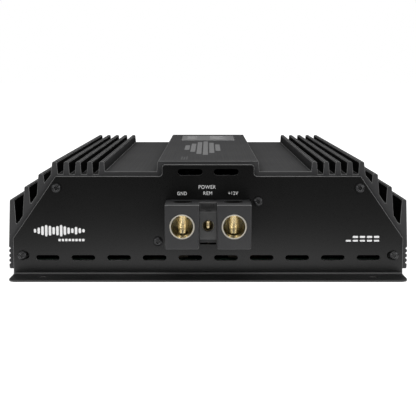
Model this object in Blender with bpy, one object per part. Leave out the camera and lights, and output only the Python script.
"""Mono car amplifier: a finned extrusion closed by two end plates and a base plate.

Every size below is in millimetres and every mesh is made in metres. X runs across the amplifier,
Y along it and Z up from the ground. The power terminals face -Y, the speaker terminals and the
controls face +Y, and the origin is under the middle of the case.
"""

from math import atan2, cos, pi, radians, sin, tan

import bmesh
import bpy
from mathutils import Matrix, Vector

MM = 0.001
GAP = 0.3  # clearance between pieces that would touch

# Driving dimensions
HALF_WIDTH = 115.0
HEIGHT = 65.95
BODY_LENGTH = 280.0
BASE_THICKNESS = 1.2
BASE_HALF_WIDTH = 112.0
PLATE_THICKNESS = 2.8
FLANGE_REACH = 20.2  # base plate beyond an end plate's outer face
TOWER_REACH = 27.5  # terminal towers beyond an end plate's outer face

BODY_END = BODY_LENGTH / 2
PLATE_INNER = BODY_END + GAP
FACE = PLATE_INNER + PLATE_THICKNESS  # outer face of an end plate, from the middle
FLANGE_END = FACE + FLANGE_REACH
FLOOR = BASE_THICKNESS + GAP

# End plate outline, right half
PLATE_CORNER = (87.2, 57.5)
PLATE_KNEE = 21.8
PLATE_HUMP = (26.3, 64.2)

# Extrusion: the hump, the channels beside it and the fins
HUMP_TOP_HALF = 28.9
HUMP_FOOT_HALF = 29.4
CHANNEL_FLOOR = 59.95
FIN_COUNT = 5
FIN_PITCH = 6.75
FIN_OUTER = 89.3  # outer edge of the outermost top fin
FIN_TOP = 2.7
FIN_FLARE = 0.5  # how much wider a fin's foot is, each side
FIN_HEIGHT = 65.7
FIN_FLOOR = 58.75
FIN_ROUND = 0.6
GROOVE_HEIGHTS = (15.5, 12.7, 9.9, 7.1)
GROOVE_HALF = 0.85
GROOVE_DEPTH = 1.0
LIP = 3.7  # underside of the side walls
FOOT_TOP = 4.2
FOOT_INNER = 99.0  # inner edge of the foot that the base plate is screwed to
LEDGE = (103.0, 7.0)  # ledge that the main board lies on
WALL_INNER = 110.8
WING_INNER = 56.2
HUMP_INNER = (25.0, 62.9)
SLOPE = radians(55)
BADGE_HALF = 20.0
BADGE_ENDS = (60.0, 119.0)
BADGE_THICKNESS = 0.8
BADGE_SEAT = HEIGHT - BADGE_THICKNESS
PORT_RADIUS = 3.2  # round ports that the end plates are screwed into
PORT_DEPTH = 14.0
LOW_PORT = (106.8, 11.9)
HIGH_PORT = (86.7, 50.8)

# Fasteners
SCREW_RADIUS = 1.5
SCREW_HOLE = SCREW_RADIUS + GAP
HEAD_RADIUS = 2.7
HEAD_HEIGHT = 1.65
SCREW_LENGTH = 11.0
BASE_SCREWS = [(x, y) for x in (-101.2, 101.2) for y in (-95.0, 95.0)]
MOUNT_HOLE_X = 94.0
MOUNT_HOLE_REACH = 10.3  # mounting holes beyond an end plate's outer face
MOUNT_HOLE_RADIUS = 2.6

# Vent slots in the end plates
SLOT_COUNT = 10
SLOT_PITCH = 20.52
SLOT_LENGTH = 13.7
SLOT_HEIGHT = 3.2
SLOT_LEVEL = 10.43
HUMP_SLOT_X = 10.3
HUMP_SLOT_LENGTH = 14.2
HUMP_SLOT_HEIGHT = 3.7
HUMP_SLOT_LEVEL = 59.85

# Terminals. Distances called reach are measured outwards from an end plate's outer face.
HOUSING_HALF = 24.0
HOUSING_LEVELS = (19.6, 44.15)
HOUSING_REACH = 12.0
TOWER_INNER = 4.8
TOWER_ROUND = 1.5
EAR_HALF = 33.5
EAR_LEVELS = (16.5, 47.7)
EAR_THICKNESS = 3.0
HOUSING_SCREWS = ((-28.8, 20.0), (28.6, 43.1))
TERMINAL_X = 14.35
BORE_LEVEL = 32.05
BORE_RADIUS = 6.1
COLLAR_RADIUS = 6.97
BLOCK_HALF = 7.6
BLOCK_LEVELS = (22.6, 41.3)
SET_SCREW_REACH = 11.3
SET_SCREW_RADIUS = 3.9
ACCESS_RADIUS = 5.5
REMOTE_LEVELS = (24.0, 39.5)
REMOTE_REACH = 20.0
REMOTE_BORE_LEVEL = 31.7
REMOTE_BORE_RADIUS = 2.6
REMOTE_SCREW_REACH = 15.5
REMOTE_SCREW_RADIUS = 1.5
POST_REACH = (-11.5, -8.5)
SPEAKER_X = 52.0

# Rear controls
CONTROL_LEVEL = 30.0
KNOB_XS = {"gain": -40.0, "low_pass": -56.0, "subsonic": -72.0}
SWITCH_X = -24.0
SWITCH_TRAVEL = 3.5
PORT_X = -88.0
JACK_XS = (-8.0, 8.0)
LED_XS = {"power": -28.0, "protect": -20.0}
LED_LEVEL = 42.0
CONTROL_BACK = 16.9  # depth of the controls behind an end plate's outer face
CONTROL_FRONT = PLATE_THICKNESS + 2 * GAP

# Inside
BOARD_THICKNESS = 1.6
BOARD_HALF = 103.4
BOARD_END = 136.0
BOARD_TOP = LEDGE[1] + GAP + BOARD_THICKNESS
PART_FLOOR = BOARD_TOP + GAP


# ---------------------------------------------------------------- shapes

def material(name, colour, roughness, metallic):
    finish = bpy.data.materials.new(name)
    finish.use_nodes = True
    shader = finish.node_tree.nodes["Principled BSDF"]
    shader.inputs["Base Color"].default_value = (*colour, 1.0)
    shader.inputs["Roughness"].default_value = roughness
    shader.inputs["Metallic"].default_value = metallic
    finish.diffuse_color = (*colour, 1.0)
    return finish


def rounded(corners, steps=2):
    """An outline from corners (a, b, radius), each with a radius turned into an arc."""
    points = []
    for index, (a, b, radius) in enumerate(corners):
        corner = Vector((a, b))
        if not radius:
            points.append((a, b))
            continue
        following = corners[(index + 1) % len(corners)]
        before = (Vector(corners[index - 1][:2]) - corner).normalized()
        after = (Vector(following[:2]) - corner).normalized()
        half = before.angle(after) / 2
        centre = corner + (before + after).normalized() * (radius / sin(half))
        first = corner + before * (radius / tan(half)) - centre
        last = corner + after * (radius / tan(half)) - centre
        turn = atan2(first.x * last.y - first.y * last.x, first.dot(last))
        for step in range(steps + 1):
            spoke = Matrix.Rotation(turn * step / steps, 2) @ first
            points.append(tuple(centre + spoke))
    return points


def arc(centre, radius, start, end, steps):
    """Points on a circle from start to end, in degrees."""
    angles = [radians(start + (end - start) * step / steps) for step in range(steps + 1)]
    return [(centre[0] + radius * cos(a), centre[1] + radius * sin(a)) for a in angles]


def prism(outline, low, high, axis="Y"):
    """A solid with the outline swept along an axis. The outline is XZ, XY for Z, or YZ for X."""
    place = {
        "X": lambda a, b, t: (t, a, b),
        "Y": lambda a, b, t: (a, t, b),
        "Z": lambda a, b, t: (a, b, t),
    }[axis]
    shape = bmesh.new()
    near = [shape.verts.new(Vector(place(a, b, low)) * MM) for a, b in outline]
    far = [shape.verts.new(Vector(place(a, b, high)) * MM) for a, b in outline]
    shape.faces.new(near)
    shape.faces.new(far)
    for index in range(len(outline)):
        shape.faces.new((near[index - 1], near[index], far[index], far[index - 1]))
    bmesh.ops.recalc_face_normals(shape, faces=shape.faces)
    return shape


def block(xs, ys, zs):
    corners = [(xs[0], zs[0]), (xs[1], zs[0]), (xs[1], zs[1]), (xs[0], zs[1])]
    return prism(corners, min(ys), max(ys))


def turned(profile, sides, centre=(0, 0, 0), axis="Z"):
    """A solid of revolution. The profile is (radius, height) from one flat end to the other."""
    shape = bmesh.new()
    rings = []
    for radius, height in profile:
        angles = [2 * pi * side / sides for side in range(sides)]
        ring = [(radius * cos(a), radius * sin(a), height) for a in angles]
        rings.append([shape.verts.new(Vector(point) * MM) for point in ring])
    shape.faces.new(rings[0])
    shape.faces.new(rings[-1])
    for low, high in zip(rings, rings[1:]):
        for side in range(sides):
            shape.faces.new((low[side - 1], low[side], high[side], high[side - 1]))
    turn = {"X": Matrix.Rotation(pi / 2, 4, "Y"), "Y": Matrix.Rotation(-pi / 2, 4, "X")}
    place = Matrix.Translation(Vector(centre) * MM) @ turn.get(axis, Matrix.Identity(4))
    bmesh.ops.transform(shape, matrix=place, verts=shape.verts)
    bmesh.ops.recalc_face_normals(shape, faces=shape.faces)
    return shape


def rod(centre, radius, low, high, sides, axis="Z"):
    return turned([(radius, low), (radius, high)], sides, centre, axis)


def ring_core(radius, half_width, half_height, corner, segments):
    """A closed ring, as wound on a toroidal core, lying flat on Z = 0."""
    section = rounded([
        (radius - half_width, 0, corner),
        (radius + half_width, 0, corner),
        (radius + half_width, 2 * half_height, corner),
        (radius - half_width, 2 * half_height, corner),
    ], 1)
    shape = bmesh.new()
    loops = []
    for segment in range(segments):
        angle = 2 * pi * segment / segments
        loop = [(r * cos(angle), r * sin(angle), z) for r, z in section]
        loops.append([shape.verts.new(Vector(point) * MM) for point in loop])
    for index in range(segments):
        low, high = loops[index - 1], loops[index]
        for side in range(len(section)):
            shape.faces.new((low[side - 1], low[side], high[side], high[side - 1]))
    bmesh.ops.recalc_face_normals(shape, faces=shape.faces)
    return shape


def mesh_of(name, shapes):
    """One mesh that holds every given shape."""
    mesh = bpy.data.meshes.new(name)
    whole = bmesh.new()
    for shape in shapes:
        shape.to_mesh(mesh)
        whole.from_mesh(mesh)
        shape.free()
    whole.to_mesh(mesh)
    whole.free()
    return mesh


def piece(name, shape, finish, location=(0, 0, 0), turn=(0, 0, 0)):
    mesh = mesh_of(name, [shape])
    mesh.materials.append(finish)
    mesh.shade_smooth()
    mesh.set_sharp_from_angle(angle=radians(35))
    made = bpy.data.objects.new(name, mesh)
    made.location = Vector(location) * MM
    made.rotation_euler = [radians(angle) for angle in turn]
    bpy.context.scene.collection.objects.link(made)
    return made


def combine(made, label, operation, shapes):
    """Adds the shapes to a piece, or cuts them from it. They lie in the piece's own frame."""
    guide = bpy.data.objects.new(f"{made.name}_{label}", mesh_of(label, shapes))
    guide.parent = made
    guide.hide_render = True
    guide.display_type = "WIRE"
    bpy.context.scene.collection.objects.link(guide)
    step = made.modifiers.new(label, "BOOLEAN")
    step.operation = operation
    step.solver = "EXACT"
    step.object = guide


def add(made, label, shapes):
    combine(made, label, "UNION", shapes)


def cut(made, label, shapes):
    combine(made, label, "DIFFERENCE", shapes)


def mirrored(right):
    """The whole outline of a shape whose right half runs from the top round to the inside."""
    return right + [(-a, b) for a, b in reversed(right)]


# ---------------------------------------------------------------- case

def slope_inner(distance_in):
    """x at height z on a line parallel to the plate's slope, distance_in inside its edge."""
    edge = sin(SLOPE) * PLATE_CORNER[0] + cos(SLOPE) * PLATE_CORNER[1] - distance_in
    return lambda z: (edge - cos(SLOPE) * z) / sin(SLOPE)


WALL_LINE = slope_inner(1.2)
WALL_KNEE = (sin(SLOPE) * (WALL_LINE(0) - WALL_INNER)) / cos(SLOPE)


def top_fins():
    """The five fins beside the hump, from the channel out to the slope."""
    corners = []
    for place in reversed(range(FIN_COUNT)):
        outer = FIN_OUTER - place * FIN_PITCH
        inner = outer - FIN_TOP
        innermost = place == FIN_COUNT - 1
        floor = CHANNEL_FLOOR if innermost else FIN_FLOOR
        corners.append((inner - FIN_FLARE, floor, 0 if innermost else 0.9))
        corners.append((inner, FIN_HEIGHT, FIN_ROUND))
        corners.append((outer, FIN_HEIGHT, FIN_ROUND))
        if place:
            corners.append((outer + FIN_FLARE, FIN_FLOOR, 0.9))
    return corners


def slope_fins():
    """The slope with its three stepped fins, down to the side wall."""
    return [
        (90.25, 57.95, 0),
        (93.9, 53.45, 0),
        (94.4, 58.65, FIN_ROUND),
        (97.3, 58.65, FIN_ROUND),
        (98.24, 46.75, 0),
        (101.44, 41.8, 0),
        (102.24, 41.8, 0),
        (102.9, 51.45, FIN_ROUND),
        (105.44, 51.45, FIN_ROUND),
        (106.66, 34.55, 0),
        (109.73, 29.8, 0),
        (110.5, 29.8, 0),
        (111.5, 43.95, FIN_ROUND),
        (114.0, 43.95, FIN_ROUND),
        (HALF_WIDTH, 17.05, 0),
    ]


def side_wall():
    """The V grooves, the lip and the foot, round to the inside of the wall."""
    corners = []
    for level in GROOVE_HEIGHTS:
        corners.append((HALF_WIDTH, level + GROOVE_HALF, 0))
        corners.append((HALF_WIDTH - GROOVE_DEPTH, level, 0))
        corners.append((HALF_WIDTH, level - GROOVE_HALF, 0))
    corners += [
        (HALF_WIDTH - 0.2, LIP, 0.4),
        (BASE_HALF_WIDTH + GAP, LIP, 0),
        (BASE_HALF_WIDTH + GAP, FLOOR, 0),
        (FOOT_INNER, FLOOR, 0),
        (FOOT_INNER, LEDGE[1], 0),
        (LEDGE[0], LEDGE[1], 0),
        (LEDGE[0], FOOT_TOP, 0),
        (WALL_INNER, FOOT_TOP, 0),
    ]
    return corners


def extrusion_outline():
    outer = [(HUMP_TOP_HALF, HEIGHT, 0.4), (HUMP_FOOT_HALF, CHANNEL_FLOOR, 0)]
    corners = outer + top_fins() + slope_fins() + side_wall()
    corners.append((WALL_INNER, LOW_PORT[1] - PORT_RADIUS, 0))
    lead_in = [(HUMP_TOP_HALF - 5, HEIGHT, 0)]  # gives the first corner its direction
    right = rounded(lead_in + corners, 1)[1:]
    right += arc(LOW_PORT, PORT_RADIUS, -90, -270, 5)
    right += [(WALL_INNER, LOW_PORT[1] + PORT_RADIUS), (WALL_INNER, WALL_KNEE)]
    tangent = arc(HIGH_PORT, PORT_RADIUS, -55, -180, 5)
    edge = sin(SLOPE) * (WALL_LINE(tangent[0][1]) - tangent[0][0])
    right.append((tangent[0][0] + edge * sin(SLOPE), tangent[0][1] + edge * cos(SLOPE)))
    right += tangent
    right += [(HIGH_PORT[0] - PORT_RADIUS, WING_INNER), (HUMP_INNER[0], WING_INNER), HUMP_INNER]
    return mirrored(right)


def heatsink():
    finish = material("anodised_extrusion", (0.012, 0.012, 0.013), 0.42, 1.0)
    made = piece("heatsink", prism(extrusion_outline(), -BODY_END, BODY_END), finish)
    holes = []
    for x, z in (LOW_PORT, HIGH_PORT):
        for side in (-1, 1):
            for end in (-1, 1):
                start, stop = sorted((end * (BODY_END - PORT_DEPTH), end * (BODY_END + 1)))
                holes.append(rod((side * x, 0, z), SCREW_HOLE, start, stop, 8, "Y"))
    for x, y in BASE_SCREWS:
        holes.append(rod((x, y, 0), SCREW_HOLE, FLOOR - 1, 6.2, 8))
    seat = BADGE_HALF + GAP
    ends = (BADGE_ENDS[0] - GAP, BADGE_ENDS[1] + GAP)
    holes.append(block((-seat, seat), ends, (BADGE_SEAT, HEIGHT + 1)))
    cut(made, "screw_holes_and_badge_seat", holes)


def hump_badge():
    finish = material("brushed_badge", (0.42, 0.42, 0.42), 0.4, 1.0)
    outline = rounded([
        (-BADGE_HALF, BADGE_ENDS[0], 1.5),
        (BADGE_HALF, BADGE_ENDS[0], 1.5),
        (BADGE_HALF, BADGE_ENDS[1], 1.5),
        (-BADGE_HALF, BADGE_ENDS[1], 1.5),
    ])
    low = BADGE_SEAT + GAP
    piece("hump_badge", prism(outline, low, low + BADGE_THICKNESS, "Z"), finish)


def base_plate():
    finish = material("coated_base", (0.015, 0.015, 0.015), 0.5, 0.0)
    outline = rounded([
        (-BASE_HALF_WIDTH, -FLANGE_END, 5),
        (BASE_HALF_WIDTH, -FLANGE_END, 5),
        (BASE_HALF_WIDTH, FLANGE_END, 5),
        (-BASE_HALF_WIDTH, FLANGE_END, 5),
    ], 4)
    made = piece("base_plate", prism(outline, 0, BASE_THICKNESS, "Z"), finish)
    holes = []
    for x in (-MOUNT_HOLE_X, MOUNT_HOLE_X):
        for y in (-FACE - MOUNT_HOLE_REACH, FACE + MOUNT_HOLE_REACH):
            holes.append(rod((x, y, 0), MOUNT_HOLE_RADIUS, -1, BASE_THICKNESS + 1, 12))
    sink = [(3.15, -0.01), (SCREW_HOLE + 0.1, BASE_THICKNESS), (SCREW_HOLE + 0.1, 2.0)]
    holes += [turned(sink, 8, (x, y, 0)) for x, y in BASE_SCREWS]
    cut(made, "mounting_and_screw_holes", holes)


def plate_outline():
    """An end plate: flat foot, 55 degree shoulders and the hump's step."""
    corners = [
        (PLATE_HUMP[0] - 5, PLATE_HUMP[1], 0),
        (PLATE_HUMP[0], PLATE_HUMP[1], 1.7),
        (PLATE_HUMP[0], PLATE_CORNER[1], 1.8),
        (PLATE_CORNER[0], PLATE_CORNER[1], 0.5),
        (BASE_HALF_WIDTH, PLATE_KNEE, 0),
        (BASE_HALF_WIDTH, FLOOR, 0),
        (0, FLOOR, 0),
    ]
    return mirrored(rounded(corners, 3)[1:-1])  # without the two guide points on the flats


def slot(x, level, length, height, ys):
    """A round-ended slot through a plate."""
    straight = (length - height) / 2
    ends = arc((x + straight, level), height / 2, -90, 90, 3)
    ends += arc((x - straight, level), height / 2, 90, 270, 3)
    return prism(ends, *ys)


def plate_holes(ys):
    """The holes that both end plates share: vents and the four corner screws."""
    holes = []
    for index in range(SLOT_COUNT):
        x = (index - (SLOT_COUNT - 1) / 2) * SLOT_PITCH
        holes.append(slot(x, SLOT_LEVEL, SLOT_LENGTH, SLOT_HEIGHT, ys))
    for side in (-1, 1):
        x = side * HUMP_SLOT_X
        holes.append(slot(x, HUMP_SLOT_LEVEL, HUMP_SLOT_LENGTH, HUMP_SLOT_HEIGHT, ys))
        holes.append(rod((side * HIGH_PORT[0], 0, HIGH_PORT[1]), SCREW_HOLE, *ys, 12, "Y"))
        low_centre = LOW_PORT[0] - 1.1
        holes.append(slot(side * low_centre, LOW_PORT[1], 2 * SCREW_HOLE + 2.2, 2 * SCREW_HOLE, ys))
    return holes


def housing_holes(x, facing, ys):
    """The opening for a terminal housing and its two screws."""
    edge = HOUSING_HALF + GAP
    levels = (HOUSING_LEVELS[0] - GAP, HOUSING_LEVELS[1] + GAP)
    holes = [block((x - edge, x + edge), ys, levels)]
    for screw_x, level in HOUSING_SCREWS:
        holes.append(rod((x + facing * screw_x, 0, level), SCREW_HOLE, *ys, 12, "Y"))
    return holes


def front_end_plate():
    finish = material("anodised_front_plate", (0.01, 0.01, 0.011), 0.4, 1.0)
    made = piece("front_end_plate", prism(plate_outline(), -FACE, -PLATE_INNER), finish)
    ys = (-FACE - 1, -PLATE_INNER + 1)
    cut(made, "vents_and_openings", plate_holes(ys) + housing_holes(0, 1, ys))


def rear_end_plate():
    finish = material("anodised_rear_plate", (0.01, 0.01, 0.011), 0.4, 1.0)
    made = piece("rear_end_plate", prism(plate_outline(), PLATE_INNER, FACE), finish)
    ys = (PLATE_INNER - 1, FACE + 1)
    holes = plate_holes(ys) + housing_holes(SPEAKER_X, -1, ys)
    for x in KNOB_XS.values():
        holes.append(rod((x, 0, CONTROL_LEVEL), 3.6, *ys, 12, "Y"))
    for x in JACK_XS:
        holes.append(rod((x, 0, CONTROL_LEVEL), 5.5, *ys, 16, "Y"))
    for x in LED_XS.values():
        holes.append(rod((x, 0, LED_LEVEL), SCREW_HOLE, *ys, 12, "Y"))
    holes.append(block((SWITCH_X - 4.0, SWITCH_X + 4.0), ys, (28.2, 31.8)))
    holes.append(block((PORT_X - 7.3, PORT_X + 7.3), ys, (23.7, 36.3)))
    cut(made, "vents_and_openings", holes)


# ---------------------------------------------------------------- fasteners

def button_screw(name, x, level, end):
    """A socket button-head screw through an end plate. end is -1 at the front, 1 at the rear."""
    finish = bpy.data.materials.get("black_screw") or material("black_screw", (0.02, 0.02, 0.02), 0.35, 1.0)
    profile = [
        (SCREW_RADIUS, -SCREW_LENGTH),
        (SCREW_RADIUS, 0),
        (HEAD_RADIUS, 0),
        (HEAD_RADIUS, 0.35 * HEAD_HEIGHT),
        (0.82 * HEAD_RADIUS, 0.8 * HEAD_HEIGHT),
        (0.55 * HEAD_RADIUS, HEAD_HEIGHT),
    ]
    location = (x, end * (FACE + GAP), level)
    made = piece(name, turned(profile, 10), finish, location, (-90 * end, 0, 0))
    cut(made, "hex_socket", [rod((0, 0, 0), 1.15, HEAD_HEIGHT - 1.1, HEAD_HEIGHT + 1, 6)])


def base_screw(name, x, y):
    """A countersunk screw from below, flush in the base plate."""
    finish = bpy.data.materials.get("zinc_screw") or material("zinc_screw", (0.3, 0.3, 0.3), 0.4, 1.0)
    profile = [(2.7, 0.1), (SCREW_RADIUS, 1.3), (SCREW_RADIUS, 5.8)]
    made = piece(name, turned(profile, 8), finish, (x, y, 0))
    cut(made, "hex_socket", [rod((0, 0, 0), 1.15, -1, 0.9, 6)])


def fasteners():
    corners = [(side * x, z) for x, z in (HIGH_PORT, LOW_PORT) for side in (-1, 1)]
    front = corners + list(HOUSING_SCREWS)
    rear = corners + [(SPEAKER_X - x, z) for x, z in HOUSING_SCREWS]
    for number, (x, level) in enumerate(front, 1):
        button_screw(f"front_plate_screw_{number}", x, level, -1)
    for number, (x, level) in enumerate(rear, 1):
        button_screw(f"rear_plate_screw_{number}", x, level, 1)
    for number, (x, y) in enumerate(BASE_SCREWS, 1):
        base_screw(f"base_plate_screw_{number}", x, y)


# ---------------------------------------------------------------- terminals
# These shapes are made facing -Y with y = -reach, and are turned round for the rear.

def ends_of(low_reach, high_reach):
    return (-high_reach, -low_reach)


def terminal_housing(name, remote, location, turn):
    """A moulded housing: ears behind the plate, and two towers that shroud the terminal blocks."""
    finish = material(f"{name}_plastic", (0.02, 0.02, 0.021), 0.45, 0.0)
    half = HOUSING_HALF
    plan = rounded([
        (-half, 4.5, 0),
        (-half, -TOWER_REACH, TOWER_ROUND),
        (-TOWER_INNER, -TOWER_REACH, 0.8),
        (-TOWER_INNER, -HOUSING_REACH, 0),
        (TOWER_INNER, -HOUSING_REACH, 0),
        (TOWER_INNER, -TOWER_REACH, 0.8),
        (half, -TOWER_REACH, TOWER_ROUND),
        (half, 4.5, 0),
    ])
    made = piece(name, prism(plan, *HOUSING_LEVELS, "Z"), finish, location, turn)
    back = PLATE_THICKNESS + GAP
    ear_ys = ends_of(-back - EAR_THICKNESS, -back)
    add(made, "ears", [block((-EAR_HALF, EAR_HALF), ear_ys, EAR_LEVELS)])
    pocket_ys = ends_of(-8, TOWER_REACH - 2)
    pocket_levels = (BLOCK_LEVELS[0] - GAP, BLOCK_LEVELS[1] + GAP)
    pockets, mouths, keyholes = [], [], []
    for x in (-TERMINAL_X, TERMINAL_X):
        edge = BLOCK_HALF + GAP
        pockets.append(block((x - edge, x + edge), pocket_ys, pocket_levels))
        mouth_ys = ends_of(TOWER_REACH - 3, TOWER_REACH + 1)
        mouths.append(rod((x, 0, BORE_LEVEL), COLLAR_RADIUS + GAP, *mouth_ys, 24, "Y"))
        keyholes.append(rod((x, -SET_SCREW_REACH, 0), ACCESS_RADIUS, 41, 46, 16))
    if remote:
        shroud_ys = ends_of(8, REMOTE_REACH)
        add(made, "remote_shroud", [block((-5.2, 5.2), shroud_ys, REMOTE_LEVELS)])
        pockets.append(block((-3.6, 3.6), ends_of(-8, REMOTE_REACH - 1.7), (27.4, 37.0)))
        mouth_ys = ends_of(REMOTE_REACH - 3, REMOTE_REACH + 1)
        mouths.append(rod((0, 0, REMOTE_BORE_LEVEL), 3.35, *mouth_ys, 16, "Y"))
        keyholes.append(rod((0, -REMOTE_SCREW_REACH, 0), 2.0, 36, 41, 12))
        cut(made, "recess", [block((-4.0, 4.0), ends_of(2, 13), (18, 23.6))])
    cut(made, "pockets", pockets)
    cut(made, "mouths", mouths)
    cut(made, "keyholes", keyholes)
    holes = [rod((x, 0, z), SCREW_HOLE, back - 1, back + EAR_THICKNESS + 1, 12, "Y")
             for x, z in HOUSING_SCREWS]
    cut(made, "screw_holes", holes)


def terminal_block(name, x, location, turn):
    """A brass block with a wire bore, a threaded hole above it and a post to the main board."""
    finish = material(f"{name}_brass", (0.75, 0.68, 0.5), 0.25, 1.0)
    half = BLOCK_HALF
    body = block((x - half, x + half), ends_of(-12, TOWER_REACH - 2 - GAP), BLOCK_LEVELS)
    made = piece(name, body, finish, location, turn)
    collar_ys = ends_of(TOWER_REACH - 4, TOWER_REACH - 0.6)
    add(made, "collar", [rod((x, 0, BORE_LEVEL), COLLAR_RADIUS, *collar_ys, 24, "Y")])
    add(made, "post", [block((x - 2.5, x + 2.5), ends_of(*POST_REACH), (PART_FLOOR, 24))])
    bore_ys = ends_of(3, TOWER_REACH + 1)
    cut(made, "wire_bore", [rod((x, 0, BORE_LEVEL), BORE_RADIUS, *bore_ys, 24, "Y")])
    thread = rod((x, -SET_SCREW_REACH, 0), SET_SCREW_RADIUS + GAP, 36, 43, 16)
    cut(made, "threaded_hole", [thread])


def set_screw(name, x, location, turn):
    """A dog-point socket set screw, wound fully down onto the floor of its wire bore."""
    finish = material(f"{name}_brass", (0.7, 0.58, 0.33), 0.3, 1.0)
    tip = 26.8
    profile = [
        (2.3, 0),
        (2.3, 2.4),
        (SET_SCREW_RADIUS - 0.7, 2.6),
        (SET_SCREW_RADIUS, 3.3),
        (SET_SCREW_RADIUS, 12.0),
        (SET_SCREW_RADIUS - 0.6, 12.6),
    ]
    place = Vector((x, -SET_SCREW_REACH, tip))
    place.rotate(Matrix.Rotation(radians(turn[2]), 3, "Z"))
    made = piece(name, turned(profile, 12), finish, Vector(location) + place, turn)
    cut(made, "hex_socket", [rod((0, 0, 0), 2.3, 8.4, 14, 6)])


def remote_terminal_block(location):
    finish = material("remote_terminal_block_brass", (0.75, 0.68, 0.5), 0.25, 1.0)
    body = block((-3.3, 3.3), ends_of(-12, REMOTE_REACH - 2), (27.7, 36.7))
    made = piece("remote_terminal_block", body, finish, location)
    collar_ys = ends_of(REMOTE_REACH - 4, REMOTE_REACH - 0.5)
    add(made, "collar", [rod((0, 0, REMOTE_BORE_LEVEL), 3.05, *collar_ys, 16, "Y")])
    add(made, "post", [block((-1.2, 1.2), ends_of(-11.5, -9), (PART_FLOOR, 29))])
    bore_ys = ends_of(6, REMOTE_REACH + 1)
    bore = rod((0, 0, REMOTE_BORE_LEVEL), REMOTE_BORE_RADIUS, *bore_ys, 16, "Y")
    cut(made, "wire_bore", [bore])
    thread = rod((0, -REMOTE_SCREW_REACH, 0), REMOTE_SCREW_RADIUS + GAP, 33, 38, 12)
    cut(made, "threaded_hole", [thread])


def remote_set_screw(location):
    finish = material("remote_set_screw_brass", (0.7, 0.58, 0.33), 0.3, 1.0)
    profile = [(1.0, 0), (1.0, 1.0), (REMOTE_SCREW_RADIUS, 1.5), (REMOTE_SCREW_RADIUS, 6.5)]
    place = Vector(location) + Vector((0, -REMOTE_SCREW_REACH, 29.8))
    made = piece("remote_set_screw", turned(profile, 12), finish, place)
    cut(made, "hex_socket", [rod((0, 0, 0), 0.9, 4.7, 8, 6)])


def terminals():
    front = (0, -FACE, 0)
    level_turn = (0, 0, 0)
    terminal_housing("power_terminal_housing", True, front, level_turn)
    for name, x in (("gnd", -TERMINAL_X), ("positive", TERMINAL_X)):
        terminal_block(f"{name}_terminal_block", x, front, level_turn)
        set_screw(f"{name}_set_screw", x, front, level_turn)
    remote_terminal_block(front)
    remote_set_screw(front)
    rear = (SPEAKER_X, FACE, 0)
    about = (0, 0, 180)
    terminal_housing("speaker_terminal_housing", False, rear, about)
    for name, x in (("speaker_positive", -TERMINAL_X), ("speaker_negative", TERMINAL_X)):
        terminal_block(f"{name}_terminal_block", x, rear, about)
        set_screw(f"{name}_set_screw", x, rear, about)


# ---------------------------------------------------------------- rear controls

CONTROL_YS = (FACE - CONTROL_BACK, FACE - CONTROL_FRONT)


def control_knob(name, x):
    """A knob on its shaft, with a pointer groove. It turns about the shaft."""
    finish = material(f"{name}_plastic", (0.03, 0.03, 0.03), 0.5, 0.0)
    profile = [(2.9, -10.5), (2.9, 0.8), (5.0, 0.8), (5.0, 8.4), (4.4, 9.2)]
    made = piece(name, turned(profile, 16), finish, (x, FACE, CONTROL_LEVEL), (-90, 0, 0))
    cut(made, "pointer", [block((-0.5, 0.5), (-6, -1.2), (8.6, 10))])


def potentiometer(name, x):
    finish = material(f"{name}_case", (0.25, 0.27, 0.3), 0.4, 0.0)
    levels = (CONTROL_LEVEL - 6, CONTROL_LEVEL + 6)
    made = piece(name, block((x - 6, x + 6), CONTROL_YS, levels), finish)
    depth = (FACE - 12, FACE)
    cut(made, "shaft_hole", [rod((x, 0, CONTROL_LEVEL), 3.2, *depth, 12, "Y")])


def phase_switch():
    finish = material("switch_case", (0.2, 0.2, 0.2), 0.5, 0.0)
    levels = (CONTROL_LEVEL - 4, CONTROL_LEVEL + 4)
    case = piece("phase_switch_case", block((SWITCH_X - 6, SWITCH_X + 6), CONTROL_YS, levels), finish)
    track = block((SWITCH_X - 3.7, SWITCH_X + 3.7), (FACE - 10, FACE), (28.4, 31.6))
    cut(case, "track", [track])
    slider_finish = material("switch_slider", (0.05, 0.05, 0.05), 0.5, 0.0)
    place = (SWITCH_X - SWITCH_TRAVEL / 2, FACE, CONTROL_LEVEL)
    piece("phase_switch_slider", block((-1.5, 1.5), (-9.5, 3.0), (-1.2, 1.2)), slider_finish, place)


def rca_input_jacks():
    """Two phono sockets on one moulded body."""
    finish = material("rca_jacks", (0.6, 0.6, 0.6), 0.3, 0.0)
    made = piece("rca_input_jacks", block((-15, 15), CONTROL_YS, (22, 38)), finish)
    collars, shells, holes = [], [], []
    for x in JACK_XS:
        centre = (x, FACE, CONTROL_LEVEL)
        collars.append(rod(centre, 5.1, -4.5, 0.6, 16, "Y"))
        shells.append(rod(centre, 4.1, -1.5, 9.5, 16, "Y"))
        holes.append(rod(centre, 1.7, 0, 11, 10, "Y"))
    add(made, "collars", collars)
    add(made, "shells", shells)
    cut(made, "pin_holes", holes)


def remote_level_port():
    finish = material("remote_port", (0.03, 0.03, 0.03), 0.5, 0.0)
    xs = (PORT_X - 7, PORT_X + 7)
    ys = (FACE - CONTROL_BACK, FACE + 0.5)
    made = piece("remote_level_port", block(xs, ys, (24, 36)), finish)
    socket = block((PORT_X - 4.9, PORT_X + 4.9), (FACE - 11, FACE + 2), (26.5, 33.2))
    cut(made, "socket", [socket])


def indicator(name, x, colour):
    finish = material(f"{name}_lens", colour, 0.2, 0.0)
    profile = [(1.5, -CONTROL_BACK), (1.5, 0.6), (1.1, 1.4)]
    piece(name, turned(profile, 10), finish, (x, FACE, LED_LEVEL), (-90, 0, 0))


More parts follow.
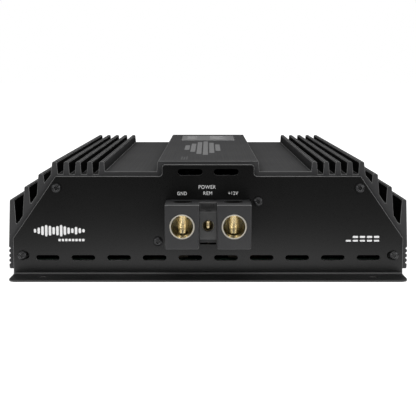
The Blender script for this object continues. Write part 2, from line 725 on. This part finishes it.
def rear_controls():
    for name, x in KNOB_XS.items():
        control_knob(f"{name}_knob", x)
        potentiometer(f"{name}_potentiometer", x)
    phase_switch()
    rca_input_jacks()
    remote_level_port()
    indicator("power_led", LED_XS["power"], (0.05, 0.1, 0.6))
    indicator("protect_led", LED_XS["protect"], (0.6, 0.03, 0.02))


# ---------------------------------------------------------------- inside

def circuit_boards():
    green = material("board", (0.02, 0.12, 0.04), 0.5, 0.0)
    low = LEDGE[1] + GAP
    main = block((-BOARD_HALF, BOARD_HALF), (-BOARD_END, BOARD_END), (low, BOARD_TOP))
    piece("main_circuit_board", main, green)
    behind = FACE - CONTROL_BACK - GAP
    ys = (behind - BOARD_THICKNESS, behind)
    piece("control_circuit_board", block((-92, 16), ys, (11.5, 45)), green)


def wound_parts():
    copper = material("winding", (0.45, 0.2, 0.08), 0.35, 1.0)
    for number, x in enumerate((-36, 36), 1):
        core = ring_core(17.5, 8.5, 12.5, 3, 20)
        piece(f"power_transformer_{number}", core, copper, (x, -62, PART_FLOOR))
    core = ring_core(13, 6.5, 9, 2.5, 16)
    piece("output_inductor", core, copper, (60, 80, PART_FLOOR))


def rail_capacitors():
    sleeve = material("capacitor_sleeve", (0.02, 0.03, 0.08), 0.35, 0.0)
    profile = [(12.5, 0), (12.5, 3.0), (11.9, 3.8), (12.5, 4.6), (12.5, 41), (11.6, 42)]
    for number, x in enumerate((-45, -15, 15, 45), 1):
        piece(f"rail_capacitor_{number}", turned(profile, 12), sleeve, (x, 8, PART_FLOOR))


def on_slope(side, along, off):
    """The XZ point along the slope's inside, measured from the transistors' middle, off the wall."""
    level = 41.0 - along * sin(SLOPE) - off * cos(SLOPE)
    x = WALL_LINE(41.0) + along * cos(SLOPE) - off * sin(SLOPE)
    return (side * x, level)


def slope_plate(side, alongs, offs):
    corners = [(alongs[0], offs[0]), (alongs[1], offs[0]), (alongs[1], offs[1]), (alongs[0], offs[1])]
    return [on_slope(side, along, off) for along, off in corners]


def power_transistors():
    """Packages held against the sloping walls by one clamp bar on each side."""
    resin = material("transistor_resin", (0.02, 0.02, 0.02), 0.5, 0.0)
    steel = material("clamp_steel", (0.35, 0.35, 0.35), 0.4, 1.0)
    for side, label in ((-1, "left"), (1, "right")):
        for number, y in enumerate((-42, 42), 1):
            body = prism(slope_plate(side, (-10, 10), (GAP, 5.3)), y - 7.8, y + 7.8)
            made = piece(f"{label}_power_transistor_{number}", body, resin)
            legs = []
            for offset in (-5.45, 0, 5.45):
                xs = sorted((side * 99.6, side * 100.4))
                legs.append(block(xs, (y + offset - 0.6, y + offset + 0.6), (PART_FLOOR, 35)))
            add(made, "legs", legs)
        bar = prism(slope_plate(side, (-5, 5), (5.6, 8.6)), -62, 62)
        piece(f"{label}_transistor_clamp", bar, steel)


def build():
    for old in list(bpy.data.objects):
        bpy.data.objects.remove(old)
    heatsink()
    hump_badge()
    base_plate()
    front_end_plate()
    rear_end_plate()
    fasteners()
    terminals()
    rear_controls()
    circuit_boards()
    wound_parts()
    rail_capacitors()
    power_transistors()


build()
